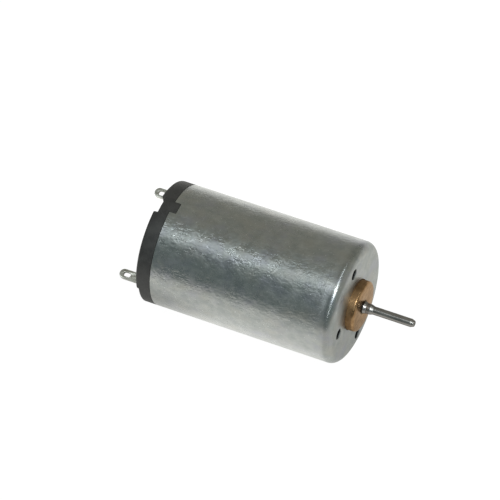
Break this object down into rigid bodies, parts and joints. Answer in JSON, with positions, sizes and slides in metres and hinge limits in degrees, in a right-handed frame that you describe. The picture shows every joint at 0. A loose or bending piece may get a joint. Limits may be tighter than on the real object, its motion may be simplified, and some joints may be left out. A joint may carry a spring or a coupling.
{
  "type": "electric motor",
  "caption": "Small round brushed DC motor: plated steel can, bronze bearing boss, thin output shaft, black keyed end cap and eyelet solder terminals.",
  "frame": {"origin": "centre of the shaft's output end, which has a small flat there, on the shaft's axis", "axes": "+X along the shaft, out of the motor; +Z square to it, towards the key slot in the can's rim; +Y completes the right-handed frame. The can's mounting face is at x = -7.75 mm."},
  "size_m": [0.0371, 0.0154, 0.0154],
  "materials": {
    "plated_steel": "satin",
    "bronze": "satin",
    "ferrite": "matte",
    "spring_steel": "satin",
    "black_plastic": "satin",
    "tinned_brass": "satin",
    "spring_bronze": "satin",
    "carbon": "matte",
    "ground_steel": "gloss",
    "nylon": "satin",
    "brass": "satin",
    "green_plastic": "satin",
    "enamelled_copper": "gloss",
    "ceramic": "matte",
    "brown_plastic": "satin",
    "copper": "gloss",
    "electrical_steel": "satin"
  },
  "bodies": {
    "stator": {"brush_arm_negative": "spring_bronze", "brush_arm_positive": "spring_bronze", "brush_negative": "carbon", "brush_positive": "carbon", "can": "plated_steel", "end_cap": "black_plastic", "front_bearing": "bronze", "magnet_clip_left": "spring_steel", "magnet_clip_right": "spring_steel", "magnet_lower": "ferrite", "magnet_upper": "ferrite", "rear_bearing": "bronze", "terminal_negative": "tinned_brass", "terminal_positive": "tinned_brass"},
    "rotor": {"coil_1": "enamelled_copper", "coil_2": "enamelled_copper", "coil_3": "enamelled_copper", "coil_lead_1": "enamelled_copper", "coil_lead_2": "enamelled_copper", "coil_lead_3": "enamelled_copper", "commutator_ring": "green_plastic", "commutator_segment_1": "copper", "commutator_segment_2": "copper", "commutator_segment_3": "copper", "commutator_sleeve": "brown_plastic", "front_spacer": "brass", "insulator_front": "green_plastic", "insulator_rear": "green_plastic", "lamination_01": "electrical_steel", "lamination_02": "electrical_steel", "lamination_03": "electrical_steel", "lamination_04": "electrical_steel", "lamination_05": "electrical_steel", "lamination_06": "electrical_steel", "lamination_07": "electrical_steel", "lamination_08": "electrical_steel", "lamination_09": "electrical_steel", "lamination_10": "electrical_steel", "lamination_11": "electrical_steel", "lamination_12": "electrical_steel", "lamination_13": "electrical_steel", "lamination_14": "electrical_steel", "lamination_15": "electrical_steel", "lamination_16": "electrical_steel", "lamination_17": "electrical_steel", "lamination_18": "electrical_steel", "lamination_19": "electrical_steel", "lamination_20": "electrical_steel", "shaft": "ground_steel", "thrust_washer_front": "nylon", "thrust_washer_rear": "nylon", "varistor_ring": "ceramic"}
  },
  "joints": [
    {"name": "rotor_spin", "type": "hinge", "parent": "stator", "child": "rotor", "pos_m": [0, 0, 0], "axis": [1, 0, 0], "continuous": true}
  ]
}
